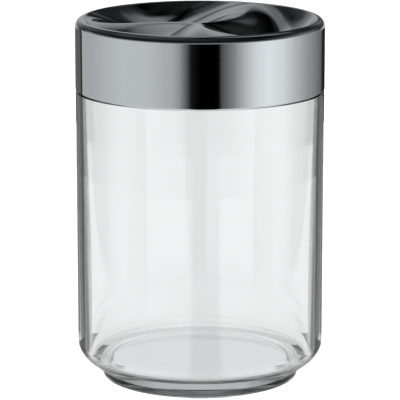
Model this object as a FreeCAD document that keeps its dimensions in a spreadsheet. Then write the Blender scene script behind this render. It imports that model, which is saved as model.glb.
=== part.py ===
"""Glass storage jar with a pull-off steel lid, as a parametric document.

Millimetres, +Z up, origin at the centre of the foot's resting plane.
Four pieces come apart on a bench: the glass jar, the pressed steel lid shell, the moulded
liner that plugs the jar's mouth, and the soft seal ring in the liner's groove.
"""
import FreeCAD, Part
import math
import os

import Sketcher
from FreeCAD import Vector

# Driving dimensions: name, value and meaning. Heights are measured from the table.
DIMENSIONS = [
    # glass jar
    ("body_radius", 52.4, "outside of the straight glass wall"),
    ("shoulder_height", 124.1, "ledge below the neck"),
    ("shoulder_round", 0.7, "rounding of the ledge's outer edge"),
    ("neck_radius", 51.3, "outside of the neck that the lid covers"),
    ("neck_top", 141.2, "rim of the jar"),
    ("rim_round", 0.8, "rounding of the rim"),
    ("mouth_radius", 49.3, "bore of the neck"),
    ("mouth_base", 129.0, "lower end of the neck's bore"),
    ("wall_top", 124.8, "upper end of the tapering wall"),
    ("wall_top_radius", 49.9, "bore at the top of the wall, where the glass is thin"),
    ("wall_low_radius", 47.9, "bore at the floor, where the glass is thick"),
    ("floor_height", 9.6, "inside floor, so the base is heavy"),
    ("floor_corner", 3.8, "rounding between floor and wall"),
    ("heel_corner", 11.4, "where the heel's cone would meet the wall"),
    ("heel_round", 9.1, "rounding of that corner"),
    ("heel_low_radius", 42.3, "lower end of the heel's cone"),
    ("foot_height", 3.6, "height of the foot ring"),
    ("foot_radius", 41.6, "outside of the foot ring"),
    ("foot_round", 1.4, "rounding of the foot's lower edge"),
    ("foot_bore", 38.8, "inside of the ring that the jar rests on"),
    ("recess_radius", 37.8, "flat of the recess under the base"),
    ("recess_depth", 0.7, "depth of that recess"),
    # lid shell
    ("lid_radius", 52.5, "outside of the lid's skirt"),
    ("lid_bottom", 124.5, "lower edge of the skirt"),
    ("lid_top", 154.1, "crest of the lid's rim"),
    ("sheet", 0.7, "steel sheet"),
    ("crown_round", 3.0, "rounding between skirt and top"),
    ("crest_radius", 49.2, "inner edge of the lid's rim, where the pressing begins"),
    ("hollow_depth", 9.0, "depth of a finger hollow below the ridges"),
    ("ridge_drop", 2.9, "ridge below the rim's crest"),
    ("hub_rise", 0.6, "hub above the ridges"),
    ("ridge_azimuth", 62.0, "direction of the first ridge at the rim, in degrees from +X"),
    ("swirl_turn", 27.0, "turn of the ridges at the hub, in degrees"),
    ("swirl_radius", 26.0, "how far out the ridges' turn reaches"),
    # liner
    ("liner_gap", 0.05, "liner inside the skirt, a push fit"),
    ("flange_base", 141.5, "underside of the flange, just above the glass rim"),
    ("flange_top", 143.9, "top of the flange, below the lowest hollow"),
    ("plug_radius", 48.6, "outside of the plug in the jar's mouth"),
    ("plug_bottom", 126.8, "underside of the plug"),
    ("plug_floor", 128.4, "upper side of the plug's floor"),
    ("plug_bore", 45.2, "inside of the plug's wall"),
    ("plug_round", 1.5, "rounding of the plug's lower edge"),
    ("groove_radius", 46.9, "bottom of the seal's groove"),
    ("groove_low", 132.4, "lower side of the groove"),
    ("groove_high", 135.8, "upper side of the groove"),
    ("rib_top", 139.2, "top of the stiffening ribs"),
    ("rib_width", 1.4, "rib"),
    ("rib_reach", 45.6, "outer end of a rib, just inside the plug's wall"),
    ("boss_radius", 8.0, "outside of the ring where the ribs meet"),
    ("boss_bore", 6.4, "inside of that ring"),
    # seal
    ("seal_gap", 0.1, "seal ring in its groove"),
    ("seal_body_radius", 48.4, "seal ring between its lips"),
    ("lip_radius", 49.2, "tips of the two lips, at the mouth's bore"),
    ("lip_offset", 0.7, "lip above or below the ring's middle"),
    ("seal_middle", 134.1, "middle of the seal ring"),
]
RIBS = 6
HOLLOWS = 3
CREST_POWER = 8  # how sharply a ridge rises to the rim
RIDGE_SHARPNESS = 0.72  # 1 is a rounded ridge, 0.5 a creased one
BOWL_PEAK = 0.331  # largest value of the hollow's radial profile, so hollow_depth is its depth
OUTERMOST = 1.15  # share of the crest radius beyond which the pressed surface runs level
SIZES = {name: value for name, value, meaning in DIMENSIONS}

doc = FreeCAD.newDocument("storage_jar")
sheet = doc.addObject("Spreadsheet::Sheet", "sizes")
for row, (name, value, meaning) in enumerate(DIMENSIONS, start=1):
    sheet.set(f"A{row}", meaning)
    sheet.set(f"B{row}", str(value))
    sheet.setAlias(f"B{row}", name)
doc.recompute()


def number(formula):
    """The value of a sum or difference of dimension names and plain numbers."""
    total, sign = 0.0, 1
    for word in formula.split():
        if word in ("+", "-"):
            sign = 1 if word == "+" else -1
        else:
            total += sign * (SIZES[word] if word in SIZES else float(word))
    return total


def bound(formula):
    """The same formula as an expression on the spreadsheet's cells."""
    return " ".join("sizes." + word if word in SIZES else word for word in formula.split())


def new_body(label):
    body = doc.addObject("PartDesign::Body", label)
    body.Label = label
    return body


def new_sketch(body, name, role):
    """An empty sketch on one of the body's own origin planes."""
    sketch = body.newObject("Sketcher::SketchObject", name)
    plane = next(f for f in body.Origin.OriginFeatures if f.Role == role)
    sketch.AttachmentSupport = [(plane, "")]
    sketch.MapMode = "FlatFace"
    return sketch


def pin_point(sketch, edge, end, x, y, tag):
    """Ties one end of a sketch edge to formulas for its two coordinates."""
    for kind, formula, axis in (("DistanceX", x, -2), ("DistanceY", y, -1)):
        if formula == "0":
            sketch.addConstraint(Sketcher.Constraint("PointOnObject", edge, end, axis))
            continue
        distance = Sketcher.Constraint(kind, -1, 1, edge, end, number(formula))
        index = sketch.addConstraint(distance)
        constraint = f"{kind[-1].lower()}_{tag}"
        sketch.renameConstraint(index, constraint)
        sketch.setExpression(f"Constraints.{constraint}", bound(formula))


def draw_outline(sketch, corners):
    """A closed outline of straight lines through corners given as pairs of formulas."""
    points = [Vector(number(x), number(y), 0) for x, y in corners]
    count = len(points)
    for i, start in enumerate(points):
        sketch.addGeometry(Part.LineSegment(start, points[(i + 1) % count]), False)
    for i in range(count):
        sketch.addConstraint(Sketcher.Constraint("Coincident", i, 2, (i + 1) % count, 1))
    for i, (x, y) in enumerate(corners):
        pin_point(sketch, i, 1, x, y, f"corner_{i}")


def revolve(body, name, corners):
    """A solid of revolution about Z from corners given as radius and height."""
    sketch = new_sketch(body, name + "_profile", "XZ_Plane")
    draw_outline(sketch, corners)
    feature = body.newObject("PartDesign::Revolution", name)
    feature.Profile = sketch
    feature.ReferenceAxis = (sketch, ["V_Axis"])
    feature.Angle = 360
    sketch.Visibility = False
    doc.recompute()
    return feature


def round_edge(body, base, radius, height, size):
    """Rounds the circular edge at that radius and height with the named dimension."""
    names = [
        f"Edge{i}"
        for i, edge in enumerate(base.Shape.Edges, start=1)
        if isinstance(edge.Curve, Part.Circle)
        and abs(edge.Curve.Radius - number(radius)) < 1e-4
        and abs(edge.Curve.Center.z - number(height)) < 1e-4
    ]
    if len(names) != 1:
        raise ValueError(f"{body.Label}: {len(names)} edges at {radius}, {height}")
    fillet = body.newObject("PartDesign::Fillet", f"{size}_at_{radius.split()[0]}")
    fillet.Base = (base, names)
    fillet.setExpression("Radius", bound(size))
    doc.recompute()
    return fillet


def make_glass_jar():
    """One pressed piece: foot ring, heel, tapering wall, ledge, neck and heavy floor."""
    body = new_body("glass_jar")
    jar = revolve(
        body,
        "jar",
        [
            ("0", "recess_depth"),
            ("recess_radius", "recess_depth"),
            ("foot_bore", "0"),
            ("foot_radius", "0"),
            ("foot_radius", "foot_height"),
            ("heel_low_radius", "foot_height"),
            ("body_radius", "heel_corner"),
            ("body_radius", "shoulder_height"),
            ("neck_radius", "shoulder_height"),
            ("neck_radius", "neck_top"),
            ("mouth_radius", "neck_top"),
            ("mouth_radius", "mouth_base"),
            ("wall_top_radius", "wall_top"),
            ("wall_low_radius", "floor_height"),
            ("0", "floor_height"),
        ],
    )
    for radius, height, size in (
        ("body_radius", "heel_corner", "heel_round"),
        ("foot_radius", "0", "foot_round"),
        ("wall_low_radius", "floor_height", "floor_corner"),
        ("body_radius", "shoulder_height", "shoulder_round"),
        ("neck_radius", "neck_top", "rim_round"),
        ("mouth_radius", "neck_top", "rim_round"),
    ):
        jar = round_edge(body, jar, radius, height, size)
    return body


def lid_height(x, y):
    """Height of the pressed top: three ridges meet at a hub, with a hollow between each two.

    A ridge dips below the rim's crest and rises steeply to it at crest_radius. The surface
    goes on rising beyond the crest, so that it leaves the blank it cuts.
    """
    radius = math.hypot(x, y)
    share = min(radius / SIZES["crest_radius"], OUTERMOST)
    swirl = math.radians(SIZES["swirl_turn"]) * math.exp(-((radius / SIZES["swirl_radius"]) ** 2))
    turn = math.atan2(y, x) - math.radians(SIZES["ridge_azimuth"]) + swirl
    between = ((1 - math.cos(HOLLOWS * turn)) / 2) ** RIDGE_SHARPNESS
    bowl = share**1.3 * (1 - share**2) / BOWL_PEAK
    ridge = SIZES["lid_top"] - SIZES["ridge_drop"] * (1 - share**CREST_POWER)
    hub = SIZES["hub_rise"] * max(1 - share**2, 0) ** 3
    return ridge + hub - SIZES["hollow_depth"] * between * bowl


def make_press(name, drop):
    """The solid above the pressed surface, lowered by drop. It shapes one side of the sheet."""
    cells = 64
    reach = SIZES["lid_radius"] + 1
    lines = [reach * (2 * i / cells - 1) for i in range(cells + 1)]
    surface = Part.BSplineSurface()
    surface.interpolate([[Vector(x, y, lid_height(x, y) - drop) for y in lines] for x in lines])
    press = doc.addObject("Part::Feature", name)
    press.Label = name
    press.Shape = surface.toShape().extrude(Vector(0, 0, 20))
    return press


def make_blank(name, radius, top, rounding):
    """A plain round cap, rounded above, as the sheet's outer or inner side before pressing."""
    body = new_body(name)
    blank = revolve(
        body,
        name + "_turned",
        [("0", "lid_bottom"), (radius, "lid_bottom"), (radius, top), ("0", top)],
    )
    edge = next(
        f"Edge{i}"
        for i, e in enumerate(blank.Shape.Edges, start=1)
        if isinstance(e.Curve, Part.Circle) and abs(e.Curve.Center.z - number(top)) < 1e-4
    )
    fillet = body.newObject("PartDesign::Fillet", name + "_crown")
    fillet.Base = (blank, [edge])
    fillet.setExpression("Radius", bound(rounding))
    doc.recompute()
    return body


def make_cut(name, base, tool):
    cut = doc.addObject("Part::Cut", name)
    cut.Label = name
    cut.Base = base
    cut.Tool = tool
    doc.recompute()
    return cut


def make_lid_shell():
    """Deep-drawn steel cap: the pressed outer side less the same form one sheet further in."""
    outside = make_cut(
        "lid_outside",
        make_blank("outer_blank", "lid_radius", "lid_top", "crown_round"),
        make_press("outer_press", 0.0),
    )
    inside = make_cut(
        "lid_inside",
        make_blank("inner_blank", "lid_radius - sheet", "lid_top - sheet", "crown_round - sheet"),
        make_press("inner_press", SIZES["sheet"]),
    )
    return make_cut("lid_shell", outside, inside)


def add_ribs(body):
    """Radial ribs and the ring where they meet, standing on the plug's floor."""
    sketch = new_sketch(body, "rib_outline", "XZ_Plane")
    draw_outline(
        sketch,
        [
            ("boss_bore + 0.4", "plug_floor - 0.4"),
            ("rib_reach", "plug_floor - 0.4"),
            ("rib_reach", "rib_top"),
            ("boss_bore + 0.4", "rib_top"),
        ],
    )
    rib = body.newObject("PartDesign::Pad", "rib")
    rib.Profile = sketch
    rib.Midplane = True
    rib.setExpression("Length", bound("rib_width"))
    doc.recompute()
    pattern = body.newObject("PartDesign::PolarPattern", "ribs")
    pattern.Originals = [rib]
    pattern.Axis = (sketch, ["V_Axis"])
    pattern.Angle = 360
    pattern.Occurrences = RIBS
    body.Tip = pattern
    doc.recompute()
    boss = revolve(
        body,
        "boss",
        [
            ("boss_bore", "plug_floor - 0.4"),
            ("boss_radius", "plug_floor - 0.4"),
            ("boss_radius", "rib_top"),
            ("boss_bore", "rib_top"),
        ],
    )
    return boss


def make_lid_liner():
    """Moulded insert: flange held in the skirt over the glass rim, and plug in the mouth."""
    body = new_body("lid_liner")
    flange_radius = "lid_radius - sheet - liner_gap"
    liner = revolve(
        body,
        "liner",
        [
            ("0", "plug_bottom"),
            ("plug_radius", "plug_bottom"),
            ("plug_radius", "groove_low"),
            ("groove_radius", "groove_low"),
            ("groove_radius", "groove_high"),
            ("plug_radius", "groove_high"),
            ("plug_radius", "flange_base"),
            (flange_radius, "flange_base"),
            (flange_radius, "flange_top"),
            ("plug_bore", "flange_top"),
            ("plug_bore", "plug_floor"),
            ("0", "plug_floor"),
        ],
    )
    round_edge(body, liner, "plug_radius", "plug_bottom", "plug_round")
    add_ribs(body)
    return body


def make_seal_ring():
    """Soft ring with two lips that wipe the bore of the jar's neck."""
    body = new_body("seal_ring")
    inner = "groove_radius + seal_gap"
    revolve(
        body,
        "ring",
        [
            (inner, "groove_low + seal_gap"),
            ("seal_body_radius", "groove_low + seal_gap"),
            ("lip_radius", "seal_middle - lip_offset"),
            ("seal_body_radius", "seal_middle"),
            ("lip_radius", "seal_middle + lip_offset"),
            ("seal_body_radius", "groove_high - seal_gap"),
            (inner, "groove_high - seal_gap"),
        ],
    )
    return body


def write_steps(pieces):
    """Stops on a failed object or a bad shape, then writes each piece to its own file."""
    doc.recompute()
    for item in doc.Objects:
        if {"Invalid", "Error"} & set(item.State):
            raise RuntimeError(f"{item.Label} failed: {item.State}")
    for piece in pieces:
        shape = piece.Shape
        if shape.isNull() or not shape.isValid() or not shape.Solids:
            raise RuntimeError(f"{piece.Label} has no valid solid")
    os.makedirs("parts", exist_ok=True)
    for piece in pieces:
        piece.Shape.exportStep(f"parts/{piece.Label}.step")
        volume = piece.Shape.Volume / 1000
        print(f"{piece.Label}: {len(piece.Shape.Solids)} solid, {volume:.1f} cm3")


write_steps([make_glass_jar(), make_lid_shell(), make_lid_liner(), make_seal_ring()])
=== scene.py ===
"""Glass storage jar with a pressed steel lid: meshes, materials, studio and camera."""
import math

import bpy
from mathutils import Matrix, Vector


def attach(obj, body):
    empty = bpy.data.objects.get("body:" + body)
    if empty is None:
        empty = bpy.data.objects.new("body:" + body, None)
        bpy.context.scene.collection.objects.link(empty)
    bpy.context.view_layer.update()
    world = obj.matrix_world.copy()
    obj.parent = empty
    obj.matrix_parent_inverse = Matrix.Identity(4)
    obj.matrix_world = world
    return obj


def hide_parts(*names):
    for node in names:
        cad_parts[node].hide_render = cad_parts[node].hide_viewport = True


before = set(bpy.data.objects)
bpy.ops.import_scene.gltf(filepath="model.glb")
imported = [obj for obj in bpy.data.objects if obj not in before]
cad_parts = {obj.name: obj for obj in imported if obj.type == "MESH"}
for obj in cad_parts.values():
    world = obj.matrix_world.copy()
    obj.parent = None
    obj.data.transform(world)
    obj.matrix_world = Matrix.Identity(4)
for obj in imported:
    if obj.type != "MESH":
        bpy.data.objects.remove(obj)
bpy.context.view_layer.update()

MM = 0.001
AROUND = 384  # segments around the axis

# Glass jar, millimetres
RECESS_R, RECESS_Z = 37.8, 0.7
FOOT_BORE, FOOT_R, FOOT_Z = 38.8, 41.6, 3.6
HEEL_LOW_R, HEEL_TOP_Z = 42.3, 11.4
BODY_R = 52.4
SHOULDER_Z = 124.1
NECK_R = 51.3
NECK_Z = 141.2
MOUTH_R, MOUTH_LOW_Z = 49.3, 129.0
WALL_HIGH_R, WALL_HIGH_Z = 49.9, 124.8
WALL_LOW_R, FLOOR_Z = 47.9, 9.6

# Lid
LID_R = 52.5
LID_LOW = 124.5
LID_TOP = 154.1
SHEET = 0.7
CROWN_WIDE, CROWN_HIGH = 3.0, 3.0
CREST_R = 49.2
CREST_POWER = 8  # a higher one keeps the ridges low until nearer the rim
CREST_SOFT = 0.4
RIDGE_DROP = 2.9
HUB_RISE = 0.6
HOLLOW_DEPTH = 9.0
RIDGE_SHARPNESS = 0.72  # a lower one makes the ridges narrower
BOWL_POWER = 1.3
BOWL_PEAK = 0.331  # largest value of the bowl's formula, so that HOLLOW_DEPTH is the true depth
RIDGE_AZIMUTH = math.radians(62)
SWIRL, SWIRL_R = math.radians(27), 26.0
HOLLOWS = 3

# Liner and seal
FLANGE_R = 51.75
FLANGE_LOW, FLANGE_TOP = 141.5, 143.9
PLUG_R, PLUG_BORE = 48.6, 45.2
PLUG_LOW, PLUG_FLOOR = 126.8, 128.4
GROOVE_R = 46.9
GROOVE_LOW, GROOVE_HIGH = 132.4, 135.8
RIB_TOP, RIB_HALF, RIBS = 139.2, 0.7, 6
BOSS_BORE, BOSS_R = 6.4, 8.0
SEAL_GAP = 0.1
SEAL_R, LIP_R, SEAL_Z = 48.4, 49.2, 134.1

# Studio
FLOOR_SIZE = 4000  # half a side
PAPER_SIZE = 2500  # half a side of the glowing paper
PAPER_Z, DISC_Z = 0.2, 0.35  # the glowing paper lies just above the floor, its discs of painted shadow above that
UNDER_BASE = 37  # radius of the dimmer glowing disc, a painted shadow of the floor under the jar, seen through the floor of the glass
ROUND_BASE = 58  # outer radius of the glowing ring, painted shade of the floor around the base, seen through the heel and the foot
SCREEN_R = 450  # screens stand on this circle around the jar
LOW_Z, BAND_Z, SKY_Z = 26, 86, 150  # heights where one screen ends and the next begins
FRONT_R, FRONT_Z = 200, 85  # dark screen around the camera's line of sight
FLAG_X, FLAG_Y = 54.5, -8.0  # near end of a flag
FLAG_SPLAY = math.radians(15)
FLAG_TOP, FLAG_FALL = 119, 0.213  # height of a flag's upper edge beside the jar, and its slope
SLATS = 200  # slats of one louvre


# ---------------------------------------------------------------- meshes


def arc_points(before, corner, after, radius):
    """Points of the arc that rounds a corner between two straight runs."""
    corner = Vector(corner)
    back, ahead = Vector(before) - corner, Vector(after) - corner
    reach_back, reach_ahead = back.length, ahead.length
    back.normalize()
    ahead.normalize()
    opening = back.angle(ahead)
    if radius <= 0 or opening > math.pi - 0.01:
        return [corner]
    trim = min(radius / math.tan(opening / 2), 0.49 * reach_back, 0.49 * reach_ahead)
    radius = trim * math.tan(opening / 2)
    centre = corner + (back + ahead).normalized() * radius / math.sin(opening / 2)
    start = corner + back * trim - centre
    end = corner + ahead * trim - centre
    turn = start.angle_signed(end)
    steps = max(4, math.ceil(abs(turn) / math.radians(5)))
    points = []
    for i in range(steps + 1):
        a = -turn * i / steps
        c, s = math.cos(a), math.sin(a)
        points.append(centre + Vector((start.x * c - start.y * s, start.x * s + start.y * c)))
    return points


def supported(points, inset=0.12, longest=6.0):
    """The same line with a point close to each end of a long run, so that flats shade flat."""
    line = [points[0]]
    for a, b in zip(points, points[1:]):
        length = (b - a).length
        if length > 4 * inset:
            line.append(a.lerp(b, inset / length))
            cells = math.ceil(length / longest)
            line += [a.lerp(b, i / cells) for i in range(1, cells)]
            line.append(a.lerp(b, 1 - inset / length))
        line.append(b)
    return line


def outline(corners, closed=False):
    """A rounded profile through corners given as (radius, height, rounding)."""
    count = len(corners)
    points = []
    for i, (r, z, rounding) in enumerate(corners):
        if not closed and i in (0, count - 1):
            points.append(Vector((r, z)))
            continue
        before, after = corners[i - 1][:2], corners[(i + 1) % count][:2]
        points += arc_points(before, (r, z), after, rounding)
    if closed:
        points.append(points[0].copy())
    return supported(points)


def mesh_object(name, vertices, faces):
    mesh = bpy.data.meshes.new(name)
    mesh.from_pydata([Vector(v) * MM for v in vertices], [], faces)
    mesh.validate()
    mesh.polygons.foreach_set("use_smooth", [True] * len(mesh.polygons))
    mesh.update()
    piece = bpy.data.objects.new(name, mesh)
    bpy.context.scene.collection.objects.link(piece)
    return piece


def rings_to_mesh(name, rings, closed=False, around=AROUND):
    """Skins rings given as functions of the angle that return (radius, height).

    A ring of radius zero becomes one vertex. The rings run so that the solid is on the left.
    """
    vertices, rows = [], []
    for ring in rings:
        first = len(vertices)
        if ring(0.0)[0] < 1e-6:
            vertices.append((0, 0, ring(0.0)[1]))
            rows.append([first] * around)
            continue
        for i in range(around):
            a = 2 * math.pi * i / around
            r, z = ring(a)
            vertices.append((r * math.cos(a), r * math.sin(a), z))
        rows.append(range(first, first + around))
    if closed:
        rows.append(rows[0])
    faces = []
    for low, high in zip(rows, rows[1:]):
        for i in range(around):
            j = (i + 1) % around
            face = [low[i], low[j], high[j], high[i]]
            face = [v for k, v in enumerate(face) if v not in face[:k]]
            if len(face) > 2:
                faces.append(face)
    return mesh_object(name, vertices, faces)


def revolved(name, profile, closed=False):
    rings = [lambda a, p=p: (p.x, p.y) for p in (profile[:-1] if closed else profile)]
    return rings_to_mesh(name, rings, closed)


def smooth_min(a, b, k):
    h = max(k - abs(a - b), 0.0) / k
    return min(a, b) - h * h * k / 4


def crown_height(r, inset=0.0):
    """Height of the rim's rounded crown, an ellipse that falls away to the skirt."""
    across = max(r - (LID_R - CROWN_WIDE), 0.0) / (CROWN_WIDE - inset)
    return LID_TOP - CROWN_HIGH + (CROWN_HIGH - inset) * math.sqrt(max(1 - across**2, 0.0))


def top_height(r, a, inset=0.0):
    """Height of the pressed top: three ridges from a hub, a hollow between each two."""
    share = r / CREST_R
    turn = a - RIDGE_AZIMUTH + SWIRL * math.exp(-((r / SWIRL_R) ** 2))
    between = ((1 - math.cos(HOLLOWS * turn)) / 2) ** RIDGE_SHARPNESS
    bowl = share**BOWL_POWER * (1 - share**2) / BOWL_PEAK
    rise = LID_TOP - RIDGE_DROP * (1 - share**CREST_POWER) - HOLLOW_DEPTH * between * bowl
    rise += HUB_RISE * max(1 - share**2, 0.0) ** 3
    return smooth_min(rise - inset, crown_height(r, inset), CREST_SOFT)


def make_glass_jar():
    corners = [
        (0, RECESS_Z, 0),
        (RECESS_R, RECESS_Z, 0.8),
        (FOOT_BORE, 0, 0.6),
        (FOOT_R, 0, 1.4),
        (FOOT_R + 0.1, FOOT_Z - 0.1, 0.5),
        (HEEL_LOW_R, FOOT_Z, 0.4),
        (BODY_R, HEEL_TOP_Z, 9.1),
        (BODY_R, SHOULDER_Z, 0.7),
        (NECK_R, SHOULDER_Z, 0.3),
        (NECK_R, NECK_Z, 0.9),
        (MOUTH_R, NECK_Z, 0.9),
        (MOUTH_R, MOUTH_LOW_Z, 3.0),
        (WALL_HIGH_R, WALL_HIGH_Z, 2.0),
        (WALL_LOW_R, FLOOR_Z, 3.8),
        (0, FLOOR_Z, 0),
    ]
    return revolved("glass_jar_body", outline(corners))


def make_lid_shell():
    """The pressed top, crown and skirt outside, then the same back up the inside."""
    last = LID_R - 0.35 * CROWN_WIDE
    radii = [CREST_R * i / 96 for i in range(80)]
    radii += [radii[-1] + (last - radii[-1]) * i / 48 for i in range(1, 49)]
    first = math.acos((last - LID_R + CROWN_WIDE) / CROWN_WIDE)

    def crown(inset, t):
        wide, high = CROWN_WIDE - inset, CROWN_HIGH - inset
        return LID_R - CROWN_WIDE + wide * math.cos(t), LID_TOP - CROWN_HIGH + high * math.sin(t)

    turns = [first * i / 16 for i in range(16)]
    outside = [crown(0, t) for t in reversed(turns)]
    inside = [crown(SHEET, t) for t in turns]
    inner = LID_R - SHEET
    skirt = outline(
        [
            (*outside[-1], 0),
            (LID_R, LID_LOW, 0.3),
            (inner, LID_LOW, 0.3),
            (*inside[0], 0),
        ]
    )
    side = outside[:-1] + [tuple(p) for p in skirt] + inside[1:]
    top = [lambda a, r=r: (r, top_height(r, a)) for r in radii]
    under = [lambda a, r=r: (r, top_height(r, a, SHEET)) for r in reversed(radii) if r < last - SHEET]
    rings = top + [lambda a, p=p: p for p in side] + under
    rings.reverse()
    return rings_to_mesh("steel_lid_shell", rings)


def make_lid_liner():
    corners = [
        (0, PLUG_LOW + 0.5, 0),
        (1.6, PLUG_LOW + 0.5, 0.2),
        (2.0, PLUG_LOW + 0.3, 0.2),
        (38.0, PLUG_LOW + 0.3, 0.3),
        (38.6, PLUG_LOW, 0.3),
        (PLUG_R, PLUG_LOW, 1.5),
        (PLUG_R, GROOVE_LOW, 0.25),
        (GROOVE_R, GROOVE_LOW, 0.2),
        (GROOVE_R, GROOVE_HIGH, 0.2),
        (PLUG_R, GROOVE_HIGH, 0.25),
        (PLUG_R, FLANGE_LOW, 0.5),
        (FLANGE_R, FLANGE_LOW, 0.4),
        (FLANGE_R, FLANGE_TOP, 0.4),
        (PLUG_BORE, FLANGE_TOP, 0.5),
        (PLUG_BORE, PLUG_FLOOR, 1.0),
        (BOSS_R, PLUG_FLOOR, 0.4),
        (BOSS_R, RIB_TOP, 0.3),
        (BOSS_BORE, RIB_TOP, 0.3),
        (BOSS_BORE, PLUG_FLOOR, 0.4),
        (0, PLUG_FLOOR, 0),
    ]
    return revolved("liner_plug", outline(corners))


def make_ribs():
    """Tapered radial ribs with rounded crests, rooted in the plug's floor, wall and boss."""
    foot, inner, outer = PLUG_FLOOR - 0.3, BOSS_R - 0.4, PLUG_BORE + 0.3
    section = [(RIB_HALF, 0.0), (0.8 * RIB_HALF, 0.9), (0.5 * RIB_HALF, 1.0)]
    section += [(-y, share) for y, share in reversed(section)]
    tall = RIB_TOP - foot
    vertices, faces = [], []
    for n in range(RIBS):
        c, s = math.cos(2 * math.pi * n / RIBS), math.sin(2 * math.pi * n / RIBS)
        first = len(vertices)
        for x in (inner, outer):
            for y, share in section:
                vertices.append((x * c - y * s, x * s + y * c, foot + tall * share))
        count = len(section)
        for i in range(count):
            j = (i + 1) % count
            faces.append([first + i, first + j, first + count + j, first + count + i])
        faces.append([first + i for i in reversed(range(count))])
        faces.append([first + count + i for i in range(count)])
    piece = mesh_object("liner_ribs", vertices, faces)
    piece.data.polygons.foreach_set("use_smooth", [False] * len(piece.data.polygons))
    return piece


def make_seal_ring():
    inner = GROOVE_R + SEAL_GAP
    low, high = GROOVE_LOW + SEAL_GAP, GROOVE_HIGH - SEAL_GAP
    corners = [
        (inner, low, 0.2),
        (SEAL_R - 0.3, low, 0.3),
        (LIP_R, SEAL_Z - 1.05, 0.18),
        (LIP_R, SEAL_Z - 0.75, 0.18),
        (SEAL_R - 0.2, SEAL_Z, 0.4),
        (LIP_R, SEAL_Z + 0.65, 0.18),
        (LIP_R, SEAL_Z + 0.95, 0.18),
        (SEAL_R - 0.3, high, 0.3),
        (inner, high, 0.2),
    ]
    return revolved("seal_lips", outline(corners, closed=True), closed=True)


# ---------------------------------------------------------------- materials


def new_material(name):
    material = bpy.data.materials.new(name)
    material.use_nodes = True
    nodes, links = material.node_tree.nodes, material.node_tree.links
    return material, nodes, links, nodes["Principled BSDF"]


def noise(nodes, links, scale, detail=3.0, stretch=(1, 1, 1)):
    """A noise texture's value in object space, with its scale per metre."""
    place = nodes.new("ShaderNodeTexCoord")
    mapping = nodes.new("ShaderNodeMapping")
    mapping.inputs["Scale"].default_value = stretch
    texture = nodes.new("ShaderNodeTexNoise")
    texture.inputs["Scale"].default_value = scale
    texture.inputs["Detail"].default_value = detail
    links.new(place.outputs["Object"], mapping.inputs["Vector"])
    links.new(mapping.outputs["Vector"], texture.inputs["Vector"])
    return texture.outputs["Fac"]


def ranged(nodes, links, value, low, high, span=(0.3, 0.7)):
    """The value's span mapped to low and high."""
    node = nodes.new("ShaderNodeMapRange")
    node.inputs["From Min"].default_value, node.inputs["From Max"].default_value = span
    node.inputs["To Min"].default_value, node.inputs["To Max"].default_value = low, high
    links.new(value, node.inputs["Value"])
    return node.outputs["Result"]


def bump(nodes, links, shader, height, distance, strength=1.0):
    node = nodes.new("ShaderNodeBump")
    node.inputs["Strength"].default_value = strength
    node.inputs["Distance"].default_value = distance
    links.new(height, node.inputs["Height"])
    links.new(node.outputs["Normal"], shader.inputs["Normal"])


def glass_material():
    material, nodes, links, shader = new_material("clear_glass")
    shader.inputs["Base Color"].default_value = (0.975, 0.985, 0.985, 1)
    shader.inputs["Transmission Weight"].default_value = 1.0
    shader.inputs["IOR"].default_value = 1.52
    wear = ranged(nodes, links, noise(nodes, links, 60, 4), 0.0, 0.02, (0.45, 0.8))
    links.new(wear, shader.inputs["Roughness"])
    waves = noise(nodes, links, 22, 1.0, (1, 1, 0.35))
    bump(nodes, links, shader, waves, 0.00006)
    depth = nodes.new("ShaderNodeVolumeAbsorption")
    depth.inputs["Color"].default_value = (0.50, 0.53, 0.54, 1)
    depth.inputs["Density"].default_value = 12
    links.new(depth.outputs[0], nodes["Material Output"].inputs["Volume"])
    return material


def steel_material():
    material, nodes, links, shader = new_material("polished_steel")
    shader.inputs["Base Color"].default_value = (0.63, 0.665, 0.69, 1)
    shader.inputs["Metallic"].default_value = 1.0
    smudge = ranged(nodes, links, noise(nodes, links, 45, 5), 0.03, 0.075)
    links.new(smudge, shader.inputs["Roughness"])
    polish = noise(nodes, links, 900, 2, (1, 1, 0.25))
    bump(nodes, links, shader, polish, 0.0000012)
    return material


def liner_material():
    material, nodes, links, shader = new_material("liner_plastic")
    shader.inputs["Base Color"].default_value = (0.80, 0.81, 0.81, 1)
    shader.inputs["Subsurface Weight"].default_value = 0.25
    shader.inputs["Subsurface Radius"].default_value = (0.004, 0.004, 0.004)
    rough = ranged(nodes, links, noise(nodes, links, 200, 4), 0.38, 0.52)
    links.new(rough, shader.inputs["Roughness"])
    bump(nodes, links, shader, noise(nodes, links, 1600, 2), 0.00003, 0.4)
    return material


def seal_material():
    material, nodes, links, shader = new_material("seal_silicone")
    shader.inputs["Base Color"].default_value = (0.74, 0.75, 0.74, 1)
    shader.inputs["Subsurface Weight"].default_value = 0.4
    shader.inputs["Subsurface Radius"].default_value = (0.003, 0.003, 0.003)
    rough = ranged(nodes, links, noise(nodes, links, 300, 3), 0.3, 0.42)
    links.new(rough, shader.inputs["Roughness"])
    bump(nodes, links, shader, noise(nodes, links, 2200, 2), 0.00002, 0.4)
    return material


# ---------------------------------------------------------------- studio


def ramp(nodes, stops, span):
    """A colour ramp through (position, level) stops, with positions in the given span."""
    node = nodes.new("ShaderNodeValToRGB")
    node.color_ramp.interpolation = "LINEAR"
    elements = node.color_ramp.elements
    while len(elements) > 1:
        elements.remove(elements[-1])
    low, high = span
    for i, (position, level) in enumerate(stops):
        place = (position - low) / (high - low)
        element = elements[0] if i == 0 else elements.new(place)
        element.position = place
        element.color = (level, level, level, 1)
    return node


def math_node(nodes, links, operation, *values):
    node = nodes.new("ShaderNodeMath")
    node.operation = operation
    for socket, value in zip(node.inputs, values):
        if isinstance(value, (int, float)):
            socket.default_value = value
        else:
            links.new(value, socket)
    return node.outputs[0]


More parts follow.
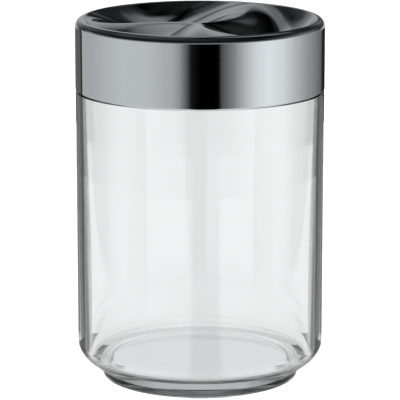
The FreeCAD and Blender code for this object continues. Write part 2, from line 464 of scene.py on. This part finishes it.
def direction(nodes, links, middle=0.0):
    """Azimuth from the camera's side and elevation from the axis at that height, each 0 to 1.

    Half is the camera's side for the azimuth and level for the elevation.
    """
    place = nodes.new("ShaderNodeTexCoord")
    axes = nodes.new("ShaderNodeSeparateXYZ")
    links.new(place.outputs["Object"], axes.inputs[0])
    x, y, z = axes.outputs
    toward = math_node(nodes, links, "MULTIPLY", y, -1)
    turn = math_node(nodes, links, "ARCTAN2", x, toward)
    across = math_node(nodes, links, "MULTIPLY", x, x)
    reach = math_node(nodes, links, "SQRT", math_node(nodes, links, "MULTIPLY_ADD", y, y, across))
    rise = math_node(nodes, links, "ARCTAN2", math_node(nodes, links, "SUBTRACT", z, middle * MM), reach)
    azimuth = math_node(nodes, links, "MULTIPLY_ADD", turn, 0.5 / math.pi, 0.5)
    elevation = math_node(nodes, links, "MULTIPLY_ADD", rise, 1 / math.pi, 0.5)
    return azimuth, elevation


def glow(material, level):
    """Makes the material emit at that level and do nothing else."""
    nodes, links = material.node_tree.nodes, material.node_tree.links
    emission = nodes.new("ShaderNodeEmission")
    links.new(level, emission.inputs["Strength"])
    output = nodes.new("ShaderNodeOutputMaterial")
    links.new(emission.outputs[0], output.inputs["Surface"])


def glow_material(name, around):
    """Light whose level depends on azimuth from the camera's side, in degrees."""
    material = bpy.data.materials.new(name)
    material.use_nodes = True
    nodes, links = material.node_tree.nodes, material.node_tree.links
    nodes.clear()
    azimuth, _ = direction(nodes, links)
    turn = ramp(nodes, around, (-180, 180))
    links.new(azimuth, turn.inputs[0])
    glow(material, turn.outputs[0])
    return material


def sky_material(name, rings):
    """Light that blends between rings given as (elevation, levels around) in degrees."""
    material = bpy.data.materials.new(name)
    material.use_nodes = True
    nodes, links = material.node_tree.nodes, material.node_tree.links
    nodes.clear()
    azimuth, elevation = direction(nodes, links, SKY_Z)
    total = 0.0
    heights = [height for height, _ in rings]
    for i, (height, around) in enumerate(rings):
        tent = [(heights[i - 1], 0.0)] if i else []
        tent += [(height, 1.0)]
        tent += [(heights[i + 1], 0.0)] if i + 1 < len(rings) else []
        turn = ramp(nodes, around, (-180, 180))
        share = ramp(nodes, tent, (-90, 90))
        links.new(azimuth, turn.inputs[0])
        links.new(elevation, share.inputs[0])
        level = math_node(nodes, links, "MULTIPLY", turn.outputs[0], share.outputs[0])
        total = math_node(nodes, links, "ADD", total, level)
    glow(material, total)
    return material


def unseen(screen, material):
    """A screen that only reflections and refractions see."""
    screen.data.materials.append(material)
    screen.visible_camera = False
    screen.visible_diffuse = False
    screen.visible_shadow = False


def reflector(name, profile, material, span=(-180, 180)):
    """A screen of revolution between two azimuths, in degrees from the camera's side."""
    cells = 180
    low, high = (math.radians(v) for v in span)
    angles = [low + (high - low) * i / cells for i in range(cells + 1)]
    vertices = [(r * math.sin(a), -r * math.cos(a), z) for r, z in profile for a in angles]
    width = cells + 1
    faces = [
        (row * width + i, row * width + i + 1, (row + 1) * width + i + 1, (row + 1) * width + i)
        for row in range(len(profile) - 1)
        for i in range(cells)
    ]
    unseen(mesh_object(name, vertices, faces), material)


def flag(name, side):
    """A dark louvre along one side of the bright path behind the jar.

    Its slats face the camera, so a view from the side passes between them. Its upper edge falls
    at the slope of the view, so that the steel above doesn't mirror it.
    """
    gap = (SCREEN_R - FLAG_Y) / SLATS
    vertices, faces = [], []
    for i in range(SLATS + 1):
        x, y = FLAG_X + gap * i * math.tan(FLAG_SPLAY), FLAG_Y + gap * i
        first, outer, top = len(vertices), x + 2 * gap, FLAG_TOP - FLAG_FALL * y
        vertices += [(side * x, y, 0), (side * outer, y, 0), (side * outer, y, top), (side * x, y, top)]
        faces.append(range(first, first + 4))
    card = mesh_object(name, vertices, faces)
    around = [(-180, 0.34), (-165, 0.26), (-150, 0.13), (0, 0.12), (150, 0.13), (165, 0.26), (180, 0.34)]
    unseen(card, glow_material(name + "_glow", around))


def square(name, half, z):
    """A flat square, given half its side and its height."""
    corners = [(-half, -half, z), (half, -half, z), (half, half, z), (-half, half, z)]
    return mesh_object(name, corners, [(0, 1, 2, 3)])


def make_floor():
    floor = square("floor", FLOOR_SIZE, 0)
    material, nodes, links, shader = new_material("floor_paper")
    shader.inputs["Base Color"].default_value = (0.92, 0.92, 0.92, 1)
    shader.inputs["Roughness"].default_value = 0.9
    shader.inputs["Specular IOR Level"].default_value = 0.0
    floor.data.materials.append(material)


def make_screens():
    """Soft boxes left and right, a dark gap at the camera, dark louvres behind, dark overhead."""
    sides = [
        (-180, 0.14), (-137, 0.13), (-136.2, 0.0), (-133.6, 0.0), (-132.6, 0.52), (-111, 0.56),
        (-71, 0.74), (-46, 0.72), (-24, 0.57), (-18, 0.43), (-13, 0.20), (-8, 0.01), (0, 0.0),
        (16.6, 0.0), (18, 0.09), (29, 0.31), (40, 0.69), (51, 0.98), (62, 1.10), (77, 0.98),
        (92, 0.68), (110, 0.43), (136, 0.20), (143, 0.14), (146.1, 0.02), (180, 0.02),
    ]
    between = [stop for stop in sides if -137 < stop[0] < 143]
    open_back = [(-180, 0.95), (-165, 0.9), *between, (165, 0.9), (180, 0.95)]
    around_base = glow_material("glow_sides_open", open_back)
    around_band = glow_material("glow_sides", sides)
    reflector("screen_side", [(SCREEN_R, BAND_Z), (SCREEN_R, SKY_Z)], around_base, (-165, 165))
    reflector("screen_band", [(SCREEN_R, LOW_Z), (SCREEN_R, BAND_Z)], around_band, (-172, 172))
    reflector("screen_low", [(SCREEN_R, 0), (SCREEN_R, LOW_Z)], around_base, (-165, 165))
    gap_in_front = [(-180, 0.95), (-9, 0.95), (-5, 0.05), (14, 0.05), (18, 0.95), (180, 0.95)]
    unseen(square("paper_glow", PAPER_SIZE, PAPER_Z), glow_material("glow_paper", gap_in_front))
    # painted shade of the floor around the base: darker towards the camera's side, lighter behind
    shade_around_heel = [
        (-180, 0.90), (-120, 0.80), (-80, 0.40), (0, 0.36), (80, 0.40), (120, 0.80), (180, 0.90),
    ]
    # painted shadow: a dimmer glowing disc under the jar and a ring around it stand in for the floor in
    # the jar's shade
    for name, inner, outer, around in (
        ("painted_shadow_under_base", 0, UNDER_BASE, [(-180, 0.72), (180, 0.72)]),
        ("painted_shade_around_base", UNDER_BASE, ROUND_BASE, shade_around_heel),
    ):
        disc = [(inner + (outer - inner) * i / 6, DISC_Z) for i in range(7)]
        reflector(name, disc, glow_material(name + "_glow", around))
    dark = glow_material("glow_front", [(-180, 0), (180, 0)])
    reflector("screen_front", [(FRONT_R, 0), (FRONT_R, FRONT_Z)], dark, (-5.2, 15.6))
    bpy.data.objects["screen_front"].visible_transmission = False
    flag("flag_left", -1)
    flag("flag_right", 1)
    climb = [math.radians(t) for t in range(0, 91, 3)]
    dome = [(SCREEN_R * math.cos(t), SKY_Z + SCREEN_R * math.sin(t)) for t in climb]
    rings = [
        (0, [(-180, 0.32), (-170, 0.42), (-150, 0.24), (-135, 0.07), (-126, 0.08), (-118, 0.50),
             (0, 0.45), (105, 0.42), (120, 0.26), (132, 0.04), (164, 0.06), (172, 0.26),
             (180, 0.32)]),
        (16, [(-180, 0.34), (-173, 0.46), (-162, 0.42), (-156, 0.24), (-150, 0.18), (-136, 0.05),
              (-120, 0.02), (60, 0.02), (104, 0.14), (120, 0.10), (138, 0.03), (152, 0.08),
              (161, 0.20), (168, 0.02), (174, 0.01), (180, 0.34)]),
        (28, [(-180, 0.26), (-172, 0.42), (-160, 0.28), (-154, 0.18), (-150, 0.05), (-144, 0.05),
              (-138, 0.12), (-120, 0.04), (-90, 0.01), (60, 0.01), (104, 0.06), (130, 0.01),
              (150, 0.02), (160, 0.01), (174, 0.00), (180, 0.26)]),
        (40, [(-180, 0.22), (-172, 0.46), (-165, 0.38), (-158, 0.08), (-152, 0.01), (-140, 0.04),
              (-120, 0.04), (-90, 0.02), (100, 0.01), (150, 0.03), (158, 0.00), (175, 0.00),
              (180, 0.22)]),
        (47, [(-180, 0.18), (-174, 0.16), (-166, 0.16), (-158, 0.02), (-125, 0.03), (-105, 0.10),
              (-60, 0.03), (90, 0.00), (118, 0.05), (130, 0.16), (145, 0.15), (152, 0.03),
              (175, 0.03), (180, 0.20)]),
        (54, [(-180, 0.28), (-168, 0.42), (-161, 0.38), (-156, 0.06), (-150, 0.04), (-105, 0.09),
              (-60, 0.03), (90, 0.00), (106, 0.04), (118, 0.20), (145, 0.20), (155, 0.05),
              (170, 0.12), (180, 0.28)]),
        (62, [(-180, 0.28), (-168, 0.30), (-160, 0.28), (-154, 0.08), (-120, 0.06), (-80, 0.08),
              (60, 0.01), (105, 0.01), (112, 0.10), (118, 0.26), (140, 0.24), (150, 0.10),
              (165, 0.14), (180, 0.28)]),
        (70, [(-180, 0.00), (-158, 0.04), (-152, 0.10), (-100, 0.06), (0, 0.02), (100, 0.00),
              (116, 0.20), (145, 0.28), (155, 0.02), (180, 0.00)]),
        (82, [(-180, 0.00), (-80, 0.05), (0, 0.02), (180, 0.00)]),
    ]
    reflector("screen_high", dome, sky_material("glow_sky", rings))


def make_lights():
    world = bpy.data.worlds.new("studio")
    bpy.context.scene.world = world
    world.use_nodes = True
    background = world.node_tree.nodes["Background"]
    background.inputs["Color"].default_value = (1, 1, 1, 1)
    background.inputs["Strength"].default_value = 1.0
    for name, place, size, power in (
        ("key_left", (-0.7, -0.5, 1.3), 0.9, 16.0),
        ("fill_right", (0.9, -0.2, 1.2), 0.9, 13.0),
    ):
        light = bpy.data.lights.new(name, "AREA")
        light.shape = "DISK"
        light.size = size
        light.energy = power
        lamp = bpy.data.objects.new(name, light)
        lamp.location = place
        lamp.rotation_euler = (Vector((0, 0, 0.07)) - Vector(place)).to_track_quat("-Z", "Y").to_euler()
        lamp.visible_glossy = False
        lamp.visible_transmission = False
        bpy.context.scene.collection.objects.link(lamp)


def make_camera():
    """A long lens, a little above the jar."""
    distance, elevation = 1.2, math.radians(12.4)
    target = Vector((0, 0, 0.0758))
    back = Vector((0, -math.cos(elevation), math.sin(elevation)))
    camera = bpy.data.objects.new("camera", bpy.data.cameras.new("camera"))
    camera.data.lens = 253.9
    camera.data.sensor_width = 36
    camera.location = target + back * distance
    camera.rotation_euler = (-back).to_track_quat("-Z", "Y").to_euler()
    bpy.context.scene.collection.objects.link(camera)
    bpy.context.scene.camera = camera


# ---------------------------------------------------------------- assembly


def place(piece, body, slot, material, node=None):
    piece.data.materials.append(material)
    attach(piece, body)
    if node:
        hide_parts(node)


jar = make_glass_jar()
place(jar, "jar", "glass", glass_material(), "glass_jar")
jar.visible_shadow = False
place(make_lid_shell(), "lid", "polished_steel", steel_material(), "lid_shell")
liner_plastic = liner_material()
place(make_lid_liner(), "lid", "liner_plastic", liner_plastic, "lid_liner")
place(make_ribs(), "lid", "liner_plastic", liner_plastic)
place(make_seal_ring(), "lid", "seal_silicone", seal_material(), "seal_ring")

make_floor()
make_screens()
make_lights()
make_camera()
bpy.context.scene.view_settings.view_transform = "Standard"
